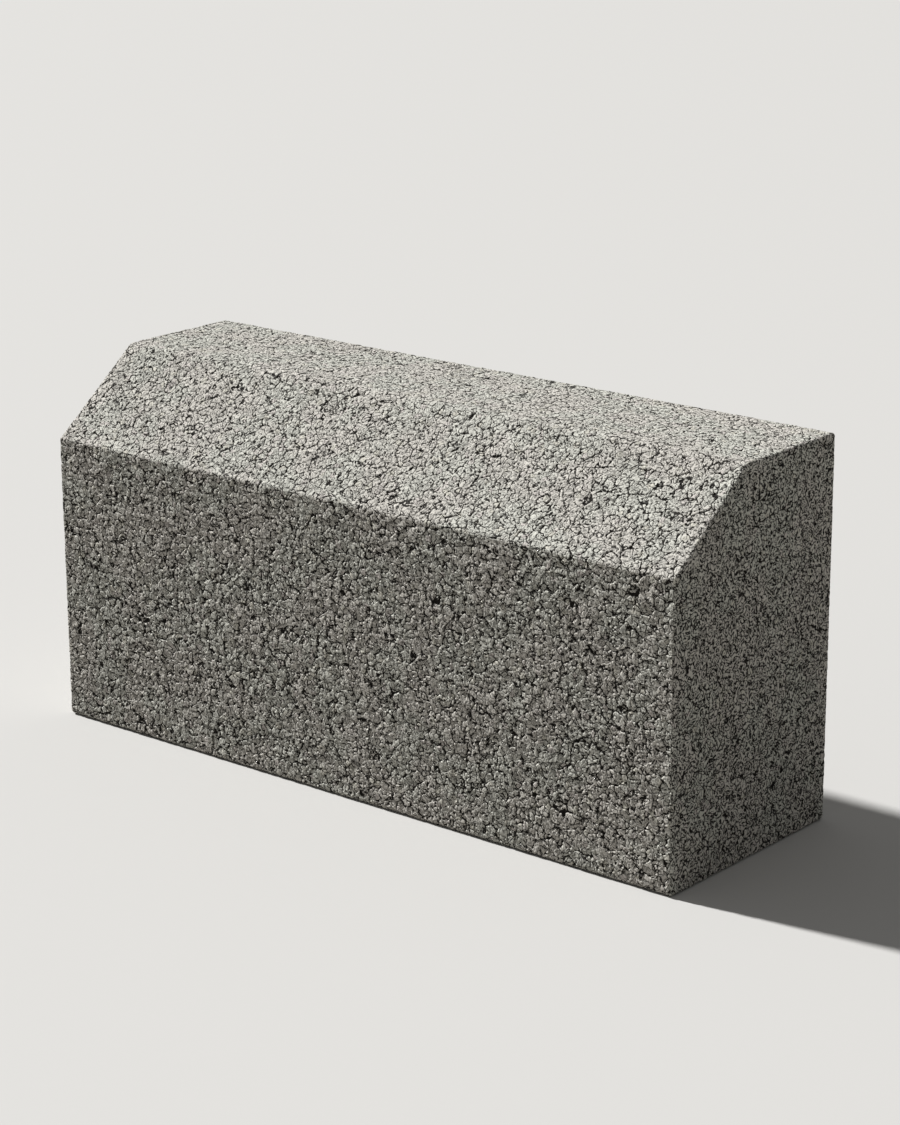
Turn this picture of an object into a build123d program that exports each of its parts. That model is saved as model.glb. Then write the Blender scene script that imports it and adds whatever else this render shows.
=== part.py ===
from build123d import *
import os

# One kerb stone, cast whole. All sizes are in millimetres.
# X runs along the kerb, the face towards the road looks along -Y, and the bed lies on Z = 0.
# The origin is the middle of the bed.

# Overall size
LENGTH = 500.0
WIDTH = 160.0
HEIGHT = 245.0

# The splay, from the upright face up and back to the flat top
SPLAY_DEPTH = 68.0
SPLAY_DROP = 53.0

# Roundings that run the whole length of the kerb
BED_RADIUS = 4.0
ARRIS_RADIUS = 3.0
CREST_RADIUS = 9.0
BACK_RADIUS = 3.0

# Rounding round the rim of each end face
END_RADIUS = 2.5


def splayed_section():
    """Outline of the kerb across its length: bed, upright face, splay, flat top and back."""
    front = -WIDTH / 2
    back = WIDTH / 2
    with BuildSketch() as section:
        with BuildLine():
            Polyline(
                (front, 0),
                (back, 0),
                (back, HEIGHT),
                (front + SPLAY_DEPTH, HEIGHT),
                (front, HEIGHT - SPLAY_DROP),
                close=True,
            )
        make_face()
        bed_corners = section.vertices().group_by(Axis.Y)[0]
        fillet(bed_corners, radius=BED_RADIUS)
        arris = section.vertices().group_by(Axis.X)[0].sort_by(Axis.Y)[-1]
        fillet(arris, radius=ARRIS_RADIUS)
        crest = section.vertices().group_by(Axis.Y)[-1].sort_by(Axis.X)[0]
        fillet(crest, radius=CREST_RADIUS)
        back_corner = section.vertices().group_by(Axis.Y)[-1].sort_by(Axis.X)[-1]
        fillet(back_corner, radius=BACK_RADIUS)
    return section.sketch


with BuildPart() as kerb_stone:
    with BuildSketch(Plane.YZ.offset(-LENGTH / 2)):
        add(splayed_section())
    extrude(amount=LENGTH)
    end_faces = kerb_stone.faces().filter_by(Axis.X)
    fillet(end_faces.edges(), radius=END_RADIUS)

kerb_stone.part.label = "kerb_stone"

os.makedirs("parts", exist_ok=True)
export_step(kerb_stone.part, "parts/kerb_stone.step")
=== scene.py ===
"""Kerb stone of coarse, open-textured concrete: cast faces with their grains, the concrete and the stage."""

import math

import bpy
from mathutils import Matrix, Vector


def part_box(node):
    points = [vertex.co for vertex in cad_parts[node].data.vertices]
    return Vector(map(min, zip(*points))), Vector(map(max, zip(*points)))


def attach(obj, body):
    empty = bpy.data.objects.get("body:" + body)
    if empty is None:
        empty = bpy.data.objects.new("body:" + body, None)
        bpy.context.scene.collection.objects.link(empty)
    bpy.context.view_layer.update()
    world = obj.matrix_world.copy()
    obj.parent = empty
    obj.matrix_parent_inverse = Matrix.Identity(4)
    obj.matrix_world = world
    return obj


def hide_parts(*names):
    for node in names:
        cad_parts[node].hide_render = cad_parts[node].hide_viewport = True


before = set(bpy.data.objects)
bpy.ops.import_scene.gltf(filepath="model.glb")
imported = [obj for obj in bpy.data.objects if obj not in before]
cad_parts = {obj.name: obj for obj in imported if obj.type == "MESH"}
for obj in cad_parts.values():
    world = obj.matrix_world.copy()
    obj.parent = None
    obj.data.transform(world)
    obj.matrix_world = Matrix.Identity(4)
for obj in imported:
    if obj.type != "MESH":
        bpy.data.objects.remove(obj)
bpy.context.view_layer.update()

bl_info = {
    "name": "Kerb Stone",
    "version": (1, 0),
    "blender": (4, 5, 0),
    "location": "View3D > Sidebar > Kerb Stone",
    "description": "Builds a concrete kerb stone with a splayed face and a coarse cast surface",
    "category": "Add Mesh",
}

NODE = "kerb_stone"
BODY = "root"
MM = 0.001

# The block's own sides, from the solid's box, and its splay as the solid has it
LOW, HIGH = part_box(NODE)
LENGTH = HIGH.x - LOW.x
DEPTH = HIGH.y - LOW.y
HEIGHT = HIGH.z - LOW.z
SPLAY_DEPTH = 68 * MM
SPLAY_DROP = 53 * MM
FACE_HEIGHT = HEIGHT - SPLAY_DROP
SPLAY_SLOPE = math.hypot(SPLAY_DEPTH, SPLAY_DROP)
SPLAY_ANGLE = math.atan2(SPLAY_DROP, SPLAY_DEPTH)

# A place this near to a plane of the block counts as on it
ON_PLANE = 0.5 * MM
# Points of a slab this near to the solid are laid on its surface
SKIN_REACH = 3.5 * MM
# Where a point already lies on the solid, this much of its face's direction says which way is outwards
FACING = 0.02 * MM
# How many times coarser the bed's mesh is than the back's
BED_COARSER = 1.4
# Shares of a large grain's size between which its rim falls away
DOME_START = 0.3
DOME_END = 0.95
# Millimetres inside a gap's rim at which its wall reaches the bottom, and at which its painted shade is fully
# dark
WALL = 0.1
SHADE = 0.04
# Width of the groove round a small grain, and sizes of the finest patterns, in millimetres
GROOVE = 0.5
SPECKLE_SIZE = 1.3
GRIT_SIZE = 1.6
# Between these two levels of a noise the grey turns from cool to warm
COOL = 0.4
WARM = 0.6

FLOOR_SIZE = 30
SUN_PLACE = (-2, 0, 2)
SKY_COLOUR = (0.99, 0.99, 0.985, 1)

# The camera as it was fitted to the corners of the block in the photograph
CAMERA_PLACE = (1.1928, -1.3976, 0.6922)
CAMERA_LENS = 97.26
CAMERA_SENSOR = 36
CAMERA_HEADING = math.radians(40.035)
CAMERA_DIP = math.radians(16.856)
CAMERA_ROLL = math.radians(-0.305)


class KerbSizes(bpy.types.PropertyGroup):
    """Sizes of the meshes"""

    spacing: bpy.props.FloatProperty(
        name="Mesh Spacing", description="Distance between points on the road face",
        default=1.0 * MM, min=0.5 * MM, precision=5, unit="LENGTH")
    fine_spacing: bpy.props.FloatProperty(
        name="Fine Mesh Spacing", description="Distance between points on the splay and the top",
        default=0.75 * MM, min=0.5 * MM, precision=5, unit="LENGTH")
    end_spacing: bpy.props.FloatProperty(
        name="End Mesh Spacing", description="Distance between points on the ends",
        default=0.85 * MM, min=0.5 * MM, precision=5, unit="LENGTH")
    hidden_spacing: bpy.props.FloatProperty(
        name="Hidden Mesh Spacing", description="Distance between points on the back",
        default=1.4 * MM, min=0.5 * MM, precision=5, unit="LENGTH")
    skin: bpy.props.FloatProperty(
        name="Skin", description="Thickness of the closed slab behind each cast face",
        default=8 * MM, precision=5, unit="LENGTH")
    facet_angle: bpy.props.FloatProperty(
        name="Facet Angle", description="Angle from which an edge between two faces looks sharp",
        default=math.radians(9), subtype="ANGLE")


class KerbGrains(bpy.types.PropertyGroup):
    """The concrete's grains, with sizes and depths in millimetres"""

    large: bpy.props.FloatProperty(
        name="Large Grains", description="Size of the large grains", default=6.8, min=1)
    small: bpy.props.FloatProperty(
        name="Small Grains", description="Size of the small grains", default=3.5, min=0.5)
    wander: bpy.props.FloatProperty(
        name="Wander", description="How far the grains' outlines stray", default=2.2, min=0)
    wander_size: bpy.props.FloatProperty(
        name="Wander Size", description="Size of the waves in the grains' outlines", default=2.6, min=0.2)
    stroke_size: bpy.props.FloatProperty(
        name="Stroke Size", description="Size of the curves that the fine strokes follow",
        default=3.5, min=0.2)
    stroke_turns: bpy.props.FloatProperty(
        name="Stroke Turns", description="How closely the fine strokes lie", default=4.5)
    large_slant: bpy.props.FloatProperty(
        name="Large Slant", description="Slope of the large grains", default=0.15)
    small_slant: bpy.props.FloatProperty(
        name="Small Slant", description="Slope of the small grains", default=0.15)
    large_dome: bpy.props.FloatProperty(
        name="Large Dome", description="How far the rims of large grains fall", default=0.03)
    large_step: bpy.props.FloatProperty(
        name="Large Step", description="How much deeper some large grains lie than others", default=0.4)
    small_step: bpy.props.FloatProperty(
        name="Small Step", description="How much deeper some small grains lie than others", default=0.2)


class KerbCracks(bpy.types.PropertyGroup):
    """The open gaps between the grains, with widths and depths in millimetres"""

    large_start: bpy.props.FloatProperty(
        name="Large Start", description="Share of a large grain's size from its middle at which a gap opens",
        default=0.68)
    small_start: bpy.props.FloatProperty(
        name="Small Start", description="Share of a small grain's size from its middle at which a gap opens",
        default=0.74)
    growth: bpy.props.FloatProperty(name="Growth", description="How fast a gap widens", default=5.0)
    one_sided: bpy.props.FloatProperty(
        name="One Sided", description="How much more a gap opens on a grain's low side", default=2.0)
    large_widest: bpy.props.FloatProperty(
        name="Large Widest", description="Half the width of the widest gap between large grains",
        default=0.4)
    small_widest: bpy.props.FloatProperty(
        name="Small Widest", description="Half the width of the widest gap between small grains",
        default=0.29)
    openness: bpy.props.FloatProperty(
        name="Openness", description="How much the gaps open and close along their length", default=2.2)
    openness_size: bpy.props.FloatProperty(
        name="Openness Size", description="Length over which a gap opens and closes", default=1.8, min=0.2)
    front_depth: bpy.props.FloatProperty(
        name="Front Depth", description="How many times deeper the road face's relief is", default=1.5)
    large_depth: bpy.props.FloatProperty(
        name="Large Depth", description="Depth of the gaps between large grains", default=0.5)
    small_depth: bpy.props.FloatProperty(
        name="Small Depth", description="Depth of the gaps between small grains", default=0.22)
    form_share: bpy.props.FloatProperty(
        name="Form Share", description="Share of the relief's depth that the mesh takes", default=0.8)
    lip: bpy.props.FloatProperty(
        name="Lip", description="Width of the finest slope beside a gap", default=0.25)
    front_open: bpy.props.FloatProperty(
        name="Front Open", description="How much more the gaps open on the road face", default=0.04)
    outline_change: bpy.props.FloatProperty(
        name="Outline Change", description="How much the outlines of grains grow and fade along their length",
        default=2.5)
    outline_depth: bpy.props.FloatProperty(
        name="Outline Depth", description="Depth of the groove round a small grain", default=0.2)
    stroke_depth: bpy.props.FloatProperty(
        name="Stroke Depth", description="Depth of the fine curved strokes", default=0.06)
    calm: bpy.props.FloatProperty(
        name="Calm", description="Share of the relief that an arris lacks", default=0.5)
    calm_reach: bpy.props.FloatProperty(
        name="Calm Reach", description="Width of the calmer strip beside an arris", default=3.0)


class KerbTones(bpy.types.PropertyGroup):
    """How light and dark the concrete's parts are"""

    gain: bpy.props.FloatProperty(name="Gain", description="Lightness of all grains", default=1.05)
    palest: bpy.props.FloatProperty(
        name="Palest", description="How many times lighter than the plain cement a grain may be",
        default=1.6)
    large_tone: bpy.props.FloatProperty(
        name="Large Tone", description="Difference between large grains", default=0.1)
    small_tone: bpy.props.FloatProperty(
        name="Small Tone", description="Difference between small grains", default=0.15)
    top_pale: bpy.props.FloatProperty(
        name="Top Pale", description="How much paler the top's cement is", default=0.15)
    speckle: bpy.props.FloatProperty(name="Speckle", description="Strength of the fine speckle", default=0.4)
    tinted: bpy.props.FloatProperty(
        name="Tinted", description="Share of the grains that have a colour of their own", default=0.1)
    warmth_size: bpy.props.FloatProperty(
        name="Warmth Size", description="Size of the areas of warmer and cooler grey, in millimetres",
        default=30.0, min=1)
    # Paler rim of a grain beside a gap: partly wear, partly a painted highlight
    wear_and_highlight: bpy.props.FloatProperty(
        name="Wear_And_Highlight", description="How much paler a grain's rim is", default=0.2)
    # The outlines are painted shade in the groove at a grain's rim, with a painted highlight just inside it
    outline: bpy.props.FloatProperty(
        name="Outline", description="Strength of the dark and pale lines round small grains", default=0.8)
    large_outline: bpy.props.FloatProperty(
        name="Large Outline", description="Strength of the dark and pale lines round large grains",
        default=0.6)
    outline_width: bpy.props.FloatProperty(
        name="Outline Width", description="Width of those two lines in millimetres", default=1.1)
    # In the colour the strokes are painted shading of their relief: lighter on its ridges, darker in its
    # furrows
    stroke: bpy.props.FloatProperty(
        name="Stroke", description="Strength of the fine curved strokes", default=0.45)
    # The right end lies in shade, and its stronger strokes are painted relief shading there
    shaded_end_painted_shading: bpy.props.FloatProperty(
        name="End Stroke", description="How many times stronger the strokes on the shaded end are",
        default=2.4)
    # Width of that paler rim of wear and painted highlight
    rim: bpy.props.FloatProperty(
        name="Rim", description="Width of the paler rim in millimetres", default=0.6)
    # The dark of a gap is painted shade
    core: bpy.props.FloatProperty(
        name="Core", description="Width of the blend from a grain to the dark of a gap, in millimetres",
        default=0.06)
    bump: bpy.props.FloatProperty(name="Bump", description="Strength of the finest relief", default=1.0)
    grit: bpy.props.FloatProperty(name="Grit", description="Depth of the sandy roughness", default=0.1)


class KerbColours(bpy.types.PropertyGroup):
    """Colours of the concrete and of the floor"""

    cement: bpy.props.FloatVectorProperty(
        name="Cement", description="Grey of the grains in the cooler areas", subtype="COLOR", size=3,
        default=(0.413, 0.409, 0.367), min=0, max=1)
    warm_cement: bpy.props.FloatVectorProperty(
        name="Warm Cement", description="Grey of the grains in the warmer areas",
        subtype="COLOR", size=3, default=(0.42, 0.401, 0.364), min=0, max=1)
    ochre: bpy.props.FloatVectorProperty(
        name="Ochre", description="Tint of the yellowish grains", subtype="COLOR", size=3,
        default=(0.418, 0.403, 0.352), min=0, max=1)
    rose: bpy.props.FloatVectorProperty(
        name="Rose", description="Tint of the reddish grains", subtype="COLOR", size=3,
        default=(0.415, 0.39, 0.36), min=0, max=1)
    # Painted shade: the nearly black colour put in the gaps between grains, where shade falls
    gap_shade: bpy.props.FloatVectorProperty(
        name="Crevice", description="Dark of the gaps between grains", subtype="COLOR", size=3,
        default=(0.017, 0.014, 0.011), min=0, max=1)
    floor: bpy.props.FloatVectorProperty(
        name="Floor", description="Colour of the plain floor", subtype="COLOR", size=3,
        default=(0.60, 0.59, 0.57), min=0, max=1)
    floor_bounce: bpy.props.FloatVectorProperty(
        name="Floor Bounce", description="Colour of the light that the floor throws back",
        subtype="COLOR", size=3, default=(0.31, 0.298, 0.277), min=0, max=1)


class KerbLights(bpy.types.PropertyGroup):
    """Strength and direction of the light"""

    sun: bpy.props.FloatProperty(name="Sun", description="Strength of the sun", default=5.0, min=0)
    sun_angle: bpy.props.FloatProperty(
        name="Sun Angle", description="Width of the sun, which softens the shadows",
        default=math.radians(3), subtype="ANGLE")
    elevation: bpy.props.FloatProperty(
        name="Elevation", description="Height of the sun above the floor",
        default=math.radians(42), subtype="ANGLE")
    heading: bpy.props.FloatProperty(
        name="Heading", description="Direction from the block to the sun",
        default=math.radians(188), subtype="ANGLE")
    sky: bpy.props.FloatProperty(name="Sky", description="Strength of the sky", default=0.2, min=0)


class Sum:
    """A value in a node tree. An expression written with it adds the Math nodes that work it out."""

    def __init__(self, nodes, socket):
        self.nodes = nodes
        self.socket = socket

    def math(self, operation, *values):
        return self.nodes.add("ShaderNodeMath", {"operation": operation}, list(values))[0]

    def __add__(self, other):
        return self.math("ADD", self, other)

    def __sub__(self, other):
        return self.math("SUBTRACT", self, other)

    def __mul__(self, other):
        return self.math("MULTIPLY", self, other)

    def __radd__(self, other):
        return self.math("ADD", other, self)

    def __rsub__(self, other):
        return self.math("SUBTRACT", other, self)

    def __rmul__(self, other):
        return self.math("MULTIPLY", other, self)

    def __gt__(self, other):
        return self.math("GREATER_THAN", self, other)

    def __lt__(self, other):
        return self.math("LESS_THAN", self, other)

    def least(self, other):
        return self.math("MINIMUM", self, other)

    def most(self, other):
        return self.math("MAXIMUM", self, other)

    def cosine(self):
        return self.math("COSINE", self)


class Nodes:
    """Adds nodes to one tree, for a material or for geometry."""

    def __init__(self, tree):
        self.tree = tree

    def add(self, kind, settings=None, inputs=None):
        """Adds a node of that kind, sets it, fills its sockets and gives its outputs, each as a Sum."""
        node = self.tree.nodes.new(kind)
        for name, value in (settings or {}).items():
            setattr(node, name, value)
        sockets = inputs.items() if isinstance(inputs, dict) else enumerate(inputs or [])
        for key, value in sockets:
            if isinstance(value, Sum):
                self.tree.links.new(value.socket, node.inputs[key])
            else:
                node.inputs[key].default_value = value
        return Outputs(self, node)

    def vector(self, operation, *values, scale=None):
        inputs = dict(enumerate(values))
        if scale is not None:
            inputs["Scale"] = scale
        return self.add("ShaderNodeVectorMath", {"operation": operation}, inputs)

    def smooth_step(self, value, low, high):
        """0 up to low, 1 from high on and a smooth slope between them. Low may be the larger of the two."""
        settings = {"interpolation_type": "SMOOTHSTEP"}
        inputs = {"Value": value, "From Min": low, "From Max": high, "To Min": 0.0, "To Max": 1.0}
        return self.add("ShaderNodeMapRange", settings, inputs)["Result"]

    def blend(self, factor, first, second):
        """The first colour where the factor is 0, the second where it is 1."""
        return self.add("ShaderNodeMix", {"data_type": "RGBA"}, {0: factor, 6: first, 7: second})[2]

    def noise(self, at, size, detail=2.0, roughness=0.5):
        inputs = {"Vector": at, "Scale": 1 / size, "Detail": detail, "Roughness": roughness}
        return self.add("ShaderNodeTexNoise", {"noise_dimensions": "3D"}, inputs)


class Outputs:
    """A node's outputs by name or place."""

    def __init__(self, nodes, node):
        self.nodes = nodes
        self.node = node

    def __getitem__(self, key):
        return Sum(self.nodes, self.node.outputs[key])


class Grains:
    """One layer of grains of like size. Each grain has a slant, a level and a tone of its own."""

    def __init__(self, nodes, at, size):
        inputs = {"Vector": at, "Scale": 1 / size}
        cell = nodes.add("ShaderNodeTexVoronoi", {"feature": "F1"}, inputs)
        own = nodes.add("ShaderNodeSeparateXYZ", {}, [cell["Color"]])
        edge = nodes.add("ShaderNodeTexVoronoi", {"feature": "DISTANCE_TO_EDGE"}, inputs)
        offset = nodes.vector("SUBTRACT", at, cell["Position"])["Vector"]
        lean = nodes.vector("SUBTRACT", cell["Color"], (0.5, 0.5, 0.5))["Vector"]
        self.reach = cell["Distance"]
        self.rim = edge["Distance"] * size
        self.slant = nodes.vector("DOT_PRODUCT", offset, lean)["Value"]
        self.level = own["X"]
        self.tone = own["Y"]
        self.tint = own["Z"]
        self.size = size

    def gap(self, opening, start, widest):
        """How many millimetres inside an open gap a place is. It opens at a grain's rim, on its low side."""
        cracks = bpy.context.scene.kerb_cracks
        lowness = self.reach + self.slant * (cracks.one_sided / self.size)
        width = (lowness + opening - start) * cracks.growth
        return width.least(widest) - self.rim

    def outline(self, nodes, width):
        """-1 at the rim of a grain, 0.8 half a width inside it and 0 from a whole width on."""
        wave = (self.rim * (2 * math.pi / width)).cosine()
        return nodes.smooth_step(self.rim, width, width * 0.3) * wave * -1


def nearness_to_arris(nodes, place, reach):
    """0 on the open faces, rising to 1 on an arris, where two of the block's planes meet."""
    at = nodes.add("ShaderNodeSeparateXYZ", {}, [place])
    up_splay = nodes.vector("DOT_PRODUCT", place, (0, -math.sin(SPLAY_ANGLE), math.cos(SPLAY_ANGLE)))["Value"]
    splay_plane = math.cos(SPLAY_ANGLE) * FACE_HEIGHT - math.sin(SPLAY_ANGLE) * LOW.y
    depths = (at["X"] - LOW.x, HIGH.x - at["X"], at["Y"] - LOW.y, HIGH.y - at["Y"], HIGH.z - at["Z"],
              splay_plane - up_splay)
    total = nodes.smooth_step(at["Z"], reach, 0.0)
    for depth in depths:
        total = total + nodes.smooth_step(depth, reach, 0.0)
    return (total - 1).most(0.0)


class Relief:
    """The cast surface at a place on the mould's plane: where its gaps are and how far down it lies."""

    def __init__(self, nodes, place):
        sizes = bpy.context.scene.kerb_grains
        cracks = bpy.context.scene.kerb_cracks
        self.at = nodes.vector("SCALE", place, scale=1 / MM)["Vector"]
        stray = nodes.noise(self.at, sizes.wander_size)["Color"]
        wander = nodes.vector("SUBTRACT", stray, (0.5, 0.5, 0.5))["Vector"]
        shift = nodes.vector("SCALE", wander, scale=sizes.wander)["Vector"]
        bent = nodes.vector("ADD", self.at, shift)["Vector"]
        self.large = Grains(nodes, bent, sizes.large)
        self.small = Grains(nodes, bent, sizes.small)
        axes = nodes.add("ShaderNodeSeparateXYZ", {}, [place])
        self.on_top = axes["Z"] > HIGH.z - ON_PLANE
        self.on_right_end = axes["X"] > HIGH.x - ON_PLANE
        on_front = axes["Y"] < LOW.y + ON_PLANE
        come_and_go = nodes.noise(self.at, cracks.openness_size, detail=0.0)["Fac"] - 0.5
        opening = come_and_go * cracks.openness + on_front * cracks.front_open
        self.drawn = (0.5 + opening * cracks.outline_change).most(0.0).least(1.0)
        contours = nodes.noise(self.at, sizes.stroke_size, detail=0.5)["Fac"]
        self.stroke = (contours * (2 * math.pi * sizes.stroke_turns)).cosine()
        self.in_large = self.large.gap(opening, cracks.large_start, cracks.large_widest)
        self.in_small = self.small.gap(opening, cracks.small_start, cracks.small_widest)
        arris = nearness_to_arris(nodes, place, cracks.calm_reach * MM)
        self.share = (1 - arris * cracks.calm) * (1 + on_front * (cracks.front_depth - 1))

    def shape(self, nodes):
        """Depth of the grains' tops and of the gaps between them."""
        sizes = bpy.context.scene.kerb_grains
        cracks = bpy.context.scene.kerb_cracks
        tops = self.large.slant * sizes.large_slant + self.small.slant * sizes.small_slant \
            + self.large.level * sizes.large_step + self.small.level * sizes.small_step
        gaps = nodes.smooth_step(self.in_large, -cracks.lip, WALL) * cracks.large_depth \
            + nodes.smooth_step(self.in_small, -cracks.lip, WALL) * cracks.small_depth
        return (tops + gaps) * self.share

    def form(self, nodes):
        """Depth that the mesh takes."""
        sizes = bpy.context.scene.kerb_grains
        cracks = bpy.context.scene.kerb_cracks
        domes = nodes.smooth_step(self.large.reach, DOME_START, DOME_END) * sizes.large_dome
        return (self.shape(nodes) * cracks.form_share + domes * self.share).most(0.0)

    def detail(self, nodes, grit):
        """Depth of what is finer than the mesh, with the share of the shape that the mesh leaves."""
        cracks = bpy.context.scene.kerb_cracks
        rest = self.shape(nodes) * (1 - cracks.form_share)
        grooves = nodes.smooth_step(self.small.rim, GROOVE, 0.0) * self.drawn * cracks.outline_depth
        sand = nodes.noise(self.at, GRIT_SIZE, detail=0.5)["Fac"] - 0.5
        return rest + grooves - self.stroke * cracks.stroke_depth + sand * grit


def cast_surface_group():
    """Geometry nodes that lay a face on the solid's rounded surface and sink the gaps between its grains."""
    name = "cast_surface"
    if name in bpy.data.node_groups:
        return bpy.data.node_groups[name]
    group = bpy.data.node_groups.new(name, "GeometryNodeTree")
    group.interface.new_socket("Geometry", in_out="INPUT", socket_type="NodeSocketGeometry")
    group.interface.new_socket("Geometry", in_out="OUTPUT", socket_type="NodeSocketGeometry")
    nodes = Nodes(group)
    slab = nodes.add("NodeGroupInput")["Geometry"]
    place = nodes.add("GeometryNodeInputPosition")["Position"]
    solid = nodes.add("GeometryNodeObjectInfo", {}, {"Object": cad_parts[NODE]})["Geometry"]
    nearest = nodes.add("GeometryNodeProximity", {"target_element": "FACES"},
                        {0: solid, "Sample Position": place})
    kept = nodes.add("GeometryNodeStoreNamedAttribute", {"data_type": "FLOAT_VECTOR", "domain": "POINT"},
                     {"Geometry": slab, "Name": "mould_place", "Value": place})["Geometry"]
    depth = Relief(nodes, place).form(nodes)
    away = nodes.vector("SUBTRACT", place, nearest["Position"])["Vector"]
    facing = nodes.vector("SCALE", nodes.add("GeometryNodeInputNormal")["Normal"], scale=FACING)["Vector"]
    outward = nodes.vector("NORMALIZE", nodes.vector("ADD", away, facing)["Vector"])["Vector"]
    inward = nodes.vector("SCALE", outward, scale=depth * -MM)["Vector"]
    target = nodes.vector("ADD", nearest["Position"], inward)["Vector"]
    on_skin = nearest["Distance"] < SKIN_REACH
    moved = nodes.add("GeometryNodeSetPosition", {},
                      {"Geometry": kept, "Selection": on_skin, "Position": target})
    nodes.add("NodeGroupOutput", {}, {"Geometry": moved["Geometry"]})
    return group


def flat_slab(name, along, up, spacing):
    """A flat grid of evenly spread points lying on the world's middle, left in edit mode; close_slab turns it
    into a thin closed slab.
    """
    bpy.ops.object.select_all(action="DESELECT")
    bpy.ops.mesh.primitive_grid_add(
        x_subdivisions=round(along / spacing), y_subdivisions=round(up / spacing), size=1)
    slab = bpy.context.object
    slab.name = slab.data.name = name
    bpy.ops.object.mode_set(mode="EDIT")
    bpy.ops.mesh.select_all(action="SELECT")
    bpy.ops.transform.resize(value=(along, up, 1))
    return slab


def close_slab(along, up):
    """Turns the grid's rim inwards on a slant and closes it behind with one flat face."""
    skin = bpy.context.scene.kerb_sizes.skin
    bpy.ops.mesh.select_mode(type="EDGE")
    bpy.ops.mesh.select_all(action="DESELECT")
    bpy.ops.mesh.select_non_manifold()
    bpy.ops.mesh.extrude_edges_move(TRANSFORM_OT_translate={"value": (0, 0, -skin)})
    bpy.ops.transform.resize(value=(1 - 2 * skin / along, 1 - 2 * skin / up, 1))
    bpy.ops.mesh.edge_face_add()
    bpy.ops.mesh.select_all(action="SELECT")
    bpy.ops.mesh.normals_make_consistent(inside=False)
    bpy.ops.object.mode_set(mode="OBJECT")


def cast_face(slab, turn, place):
    """Puts a slab in its place on the block, casts its grains and gives it the concrete."""
    slab.matrix_world = Matrix.Translation(place) @ turn.to_4x4()
    bpy.ops.object.transform_apply(location=True, rotation=True, scale=True)
    grains = slab.modifiers.new("cast_surface", "NODES")
    grains.node_group = cast_surface_group()
    bpy.ops.object.modifier_apply(modifier=grains.name)
    bpy.ops.object.shade_smooth_by_angle(angle=bpy.context.scene.kerb_sizes.facet_angle)
    slab.data.materials.clear()
    slab.data.materials.append(concrete_material())
    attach(slab, BODY)
    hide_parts(NODE)
    return slab


def upright_turn(heading):
    """Stands a flat slab up and turns it about the vertical by that angle."""
    return Matrix.Rotation(heading, 3, "Z") @ Matrix.Rotation(math.radians(90), 3, "X")


def concrete_material():
    """Grey grains, each of its own tone, with painted shade in the gaps between them, paler rims of wear and
    painted highlight, painted shading along strokes and outlines, and a sandy skin.
    """
    name = "open_textured_concrete"
    if name in bpy.data.materials:
        return bpy.data.materials[name]
    colours = bpy.context.scene.kerb_colours
    tones = bpy.context.scene.kerb_tones
    material = bpy.data.materials.new(name)
    material.use_nodes = True
    material.node_tree.nodes.clear()
    nodes = Nodes(material.node_tree)
    place = nodes.add("ShaderNodeAttribute", {"attribute_name": "mould_place"})["Vector"]
    relief = Relief(nodes, place)
    speckle = nodes.noise(relief.at, SPECKLE_SIZE, detail=0.5)["Fac"] - 0.5
    # Paler rims beside the gaps: partly wear, partly painted highlight
    near_gap = nodes.smooth_step(relief.in_large.most(relief.in_small), -tones.rim, -tones.rim * 0.5)
    own_tone = (relief.large.tone - 0.5) * tones.large_tone + (relief.small.tone - 0.5) * tones.small_tone
    # Painted shade on each grain's rim, in its groove, with a painted highlight just inside
    outlines = relief.small.outline(nodes, tones.outline_width) * relief.drawn * tones.outline \
        + relief.large.outline(nodes, tones.outline_width) * tones.large_outline
    # Painted shading of the strokes' relief, several times stronger on the right end, which lies in shade
    strokes = relief.stroke * tones.stroke * (1 + relief.on_right_end * (tones.shaded_end_painted_shading - 1))
    light = 1 + own_tone + speckle * tones.speckle + near_gap * tones.wear_and_highlight \
        + relief.on_top * tones.top_pale + outlines + strokes
    warmth = nodes.smooth_step(nodes.noise(relief.at, tones.warmth_size, detail=1.0)["Fac"], COOL, WARM)
    cement = nodes.blend(warmth, (*colours.cement, 1), (*colours.warm_cement, 1))
    ochre = nodes.blend(relief.small.tint > 1 - tones.tinted / 2, cement, (*colours.ochre, 1))
    hue = nodes.blend(relief.small.tint < tones.tinted / 2, ochre, (*colours.rose, 1))
    lightness = light.least(tones.palest).most(0.0) * tones.gain
    grey = nodes.vector("SCALE", hue, scale=lightness)["Vector"]
    # Painted shade: the gaps blend to the nearly black gap colour
    open_large = nodes.smooth_step(relief.in_large, -tones.core, SHADE)
    open_small = nodes.smooth_step(relief.in_small, -tones.core, SHADE)
    dark = 1 - (1 - open_large) * (1 - open_small)
    colour = nodes.blend(dark, grey, (*colours.gap_shade, 1))
    depth = relief.detail(nodes, tones.grit)
    bump = nodes.add("ShaderNodeBump", {},
                     {"Strength": tones.bump, "Distance": MM, "Height": depth * -1})["Normal"]
    surface = nodes.add("ShaderNodeBsdfPrincipled", {}, {
        "Base Color": colour, "Roughness": 0.92, "Specular IOR Level": 0.3, "Normal": bump})["BSDF"]
    nodes.add("ShaderNodeOutputMaterial", {}, {"Surface": surface})
    return material


class KERB_OT_road_face(bpy.types.Operator):
    """Cast the upright face that looks towards the road"""

    bl_idname = "kerb.road_face"
    bl_label = "Road Face"

    def execute(self, context):
        slab = flat_slab("road_face", LENGTH, FACE_HEIGHT, context.scene.kerb_sizes.spacing)
        close_slab(LENGTH, FACE_HEIGHT)
        cast_face(slab, upright_turn(0), (0, LOW.y, FACE_HEIGHT / 2))
        return {"FINISHED"}


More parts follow.
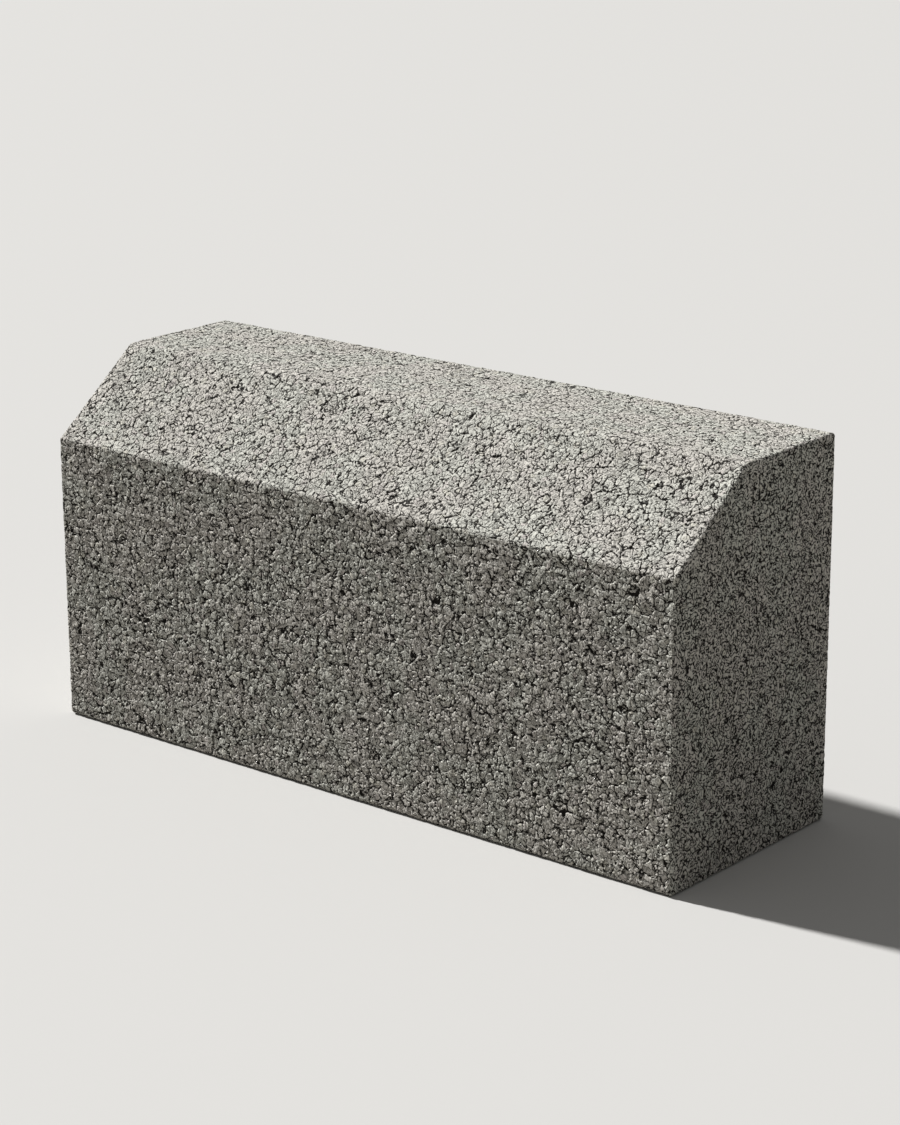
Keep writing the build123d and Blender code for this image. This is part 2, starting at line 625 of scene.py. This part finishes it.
class KERB_OT_splay(bpy.types.Operator):
    """Cast the slope between the road face and the top"""

    bl_idname = "kerb.splay"
    bl_label = "Splay"

    def execute(self, context):
        slab = flat_slab("splay", LENGTH, SPLAY_SLOPE, context.scene.kerb_sizes.fine_spacing)
        close_slab(LENGTH, SPLAY_SLOPE)
        middle = (0, LOW.y + SPLAY_DEPTH / 2, FACE_HEIGHT + SPLAY_DROP / 2)
        cast_face(slab, Matrix.Rotation(SPLAY_ANGLE, 3, "X"), middle)
        return {"FINISHED"}


class KERB_OT_top(bpy.types.Operator):
    """Cast the flat top behind the splay"""

    bl_idname = "kerb.top"
    bl_label = "Top"

    def execute(self, context):
        wide = DEPTH - SPLAY_DEPTH
        slab = flat_slab("top", LENGTH, wide, context.scene.kerb_sizes.fine_spacing)
        close_slab(LENGTH, wide)
        cast_face(slab, Matrix.Identity(3), (0, HIGH.y - wide / 2, HEIGHT))
        return {"FINISHED"}


class KERB_OT_back(bpy.types.Operator):
    """Cast the upright back"""

    bl_idname = "kerb.back"
    bl_label = "Back"

    def execute(self, context):
        slab = flat_slab("back", LENGTH, HEIGHT, context.scene.kerb_sizes.hidden_spacing)
        close_slab(LENGTH, HEIGHT)
        cast_face(slab, upright_turn(math.pi), (0, HIGH.y, HEIGHT / 2))
        return {"FINISHED"}


class KERB_OT_bed(bpy.types.Operator):
    """Cast the bed that the stone stands on"""

    bl_idname = "kerb.bed"
    bl_label = "Bed"

    def execute(self, context):
        slab = flat_slab("bed", LENGTH, DEPTH, context.scene.kerb_sizes.hidden_spacing * BED_COARSER)
        close_slab(LENGTH, DEPTH)
        cast_face(slab, Matrix.Rotation(math.pi, 3, "X"), (0, 0, 0))
        return {"FINISHED"}


class KERB_OT_ends(bpy.types.Operator):
    """Cast the two ends, each with its corner cut off along the splay"""

    bl_idname = "kerb.ends"
    bl_label = "Ends"

    def execute(self, context):
        for name, side in (("right_end", 1), ("left_end", -1)):
            slab = flat_slab(name, DEPTH, HEIGHT, context.scene.kerb_sizes.end_spacing)
            corner = (-side * DEPTH / 2, FACE_HEIGHT - HEIGHT / 2, 0)
            slant = (-side * SPLAY_DROP, SPLAY_DEPTH, 0)
            bpy.ops.mesh.bisect(plane_co=corner, plane_no=slant, clear_outer=True)
            close_slab(DEPTH, HEIGHT)
            cast_face(slab, upright_turn(side * math.radians(90)), (side * LENGTH / 2, 0, HEIGHT / 2))
        return {"FINISHED"}


class KERB_OT_stage(bpy.types.Operator):
    """Set out the floor, the sky, the lamp and the camera"""

    bl_idname = "kerb.stage"
    bl_label = "Stage"

    def execute(self, context):
        lay_floor()
        light_stage()
        place_camera()
        return {"FINISHED"}


def lay_floor():
    """A wide plain floor under the block, pale to the camera and darker in the light that it throws back."""
    colours = bpy.context.scene.kerb_colours
    bpy.ops.object.select_all(action="DESELECT")
    bpy.ops.mesh.primitive_plane_add(size=FLOOR_SIZE, location=(0, 0, 0))
    floor = bpy.context.object
    floor.name = floor.data.name = "floor"
    material = bpy.data.materials.new("floor")
    material.use_nodes = True
    material.node_tree.nodes.clear()
    nodes = Nodes(material.node_tree)
    seen = nodes.add("ShaderNodeLightPath")["Is Camera Ray"]
    colour = nodes.blend(seen, (*colours.floor_bounce, 1), (*colours.floor, 1))
    surface = nodes.add("ShaderNodeBsdfPrincipled", {}, {"Base Color": colour, "Roughness": 0.9})["BSDF"]
    nodes.add("ShaderNodeOutputMaterial", {}, {"Surface": surface})
    floor.data.materials.append(material)


def light_stage():
    """A sun from the left, a little in front, and a soft sky."""
    lights = bpy.context.scene.kerb_lights
    bpy.ops.object.light_add(type="SUN", location=SUN_PLACE)
    sun = bpy.context.object
    sun.name = sun.data.name = "sun"
    sun.data.energy = lights.sun
    sun.data.angle = lights.sun_angle
    turn = Matrix.Rotation(lights.heading + math.radians(90), 4, "Z") \
        @ Matrix.Rotation(math.radians(90) - lights.elevation, 4, "X")
    sun.matrix_world = Matrix.Translation(SUN_PLACE) @ turn
    world = bpy.data.worlds.new("sky")
    bpy.context.scene.world = world
    world.use_nodes = True
    background = world.node_tree.nodes["Background"]
    background.inputs["Color"].default_value = SKY_COLOUR
    background.inputs["Strength"].default_value = lights.sky


def place_camera():
    """A long lens in front and to the right of the block, 0.7 m above the floor, looking down on it."""
    bpy.ops.object.camera_add(location=CAMERA_PLACE)
    camera = bpy.context.object
    camera.data.lens = CAMERA_LENS
    camera.data.sensor_width = CAMERA_SENSOR
    turn = Matrix.Rotation(CAMERA_HEADING, 4, "Z") \
        @ Matrix.Rotation(math.radians(90) - CAMERA_DIP, 4, "X") \
        @ Matrix.Rotation(CAMERA_ROLL, 4, "Z")
    camera.matrix_world = Matrix.Translation(CAMERA_PLACE) @ turn
    bpy.context.scene.camera = camera
    bpy.context.scene.view_settings.view_transform = "Standard"


class KERB_PT_panel(bpy.types.Panel):
    """Lists the operators that build the stone"""

    bl_idname = "KERB_PT_panel"
    bl_label = "Kerb Stone"
    bl_space_type = "VIEW_3D"
    bl_region_type = "UI"
    bl_category = "Kerb Stone"

    def draw(self, context):
        for key, group in GROUPS.items():
            for name in group.__annotations__:
                self.layout.prop(getattr(context.scene, key), name)
        for operator in OPERATORS:
            self.layout.operator(operator.bl_idname)


OPERATORS = (
    KERB_OT_road_face, KERB_OT_splay, KERB_OT_top, KERB_OT_back, KERB_OT_bed, KERB_OT_ends, KERB_OT_stage,
)
GROUPS = {
    "kerb_sizes": KerbSizes, "kerb_grains": KerbGrains, "kerb_cracks": KerbCracks,
    "kerb_tones": KerbTones, "kerb_colours": KerbColours, "kerb_lights": KerbLights,
}
CLASSES = (*GROUPS.values(), *OPERATORS, KERB_PT_panel)


def register():
    for item in CLASSES:
        bpy.utils.register_class(item)
    for key, group in GROUPS.items():
        setattr(bpy.types.Scene, key, bpy.props.PointerProperty(type=group))


def unregister():
    for key in GROUPS:
        delattr(bpy.types.Scene, key)
    for item in reversed(CLASSES):
        bpy.utils.unregister_class(item)


def main():
    register()
    bpy.ops.kerb.road_face()
    bpy.ops.kerb.splay()
    bpy.ops.kerb.top()
    bpy.ops.kerb.back()
    bpy.ops.kerb.bed()
    bpy.ops.kerb.ends()
    bpy.ops.kerb.stage()


if __name__ == "__main__":
    main()
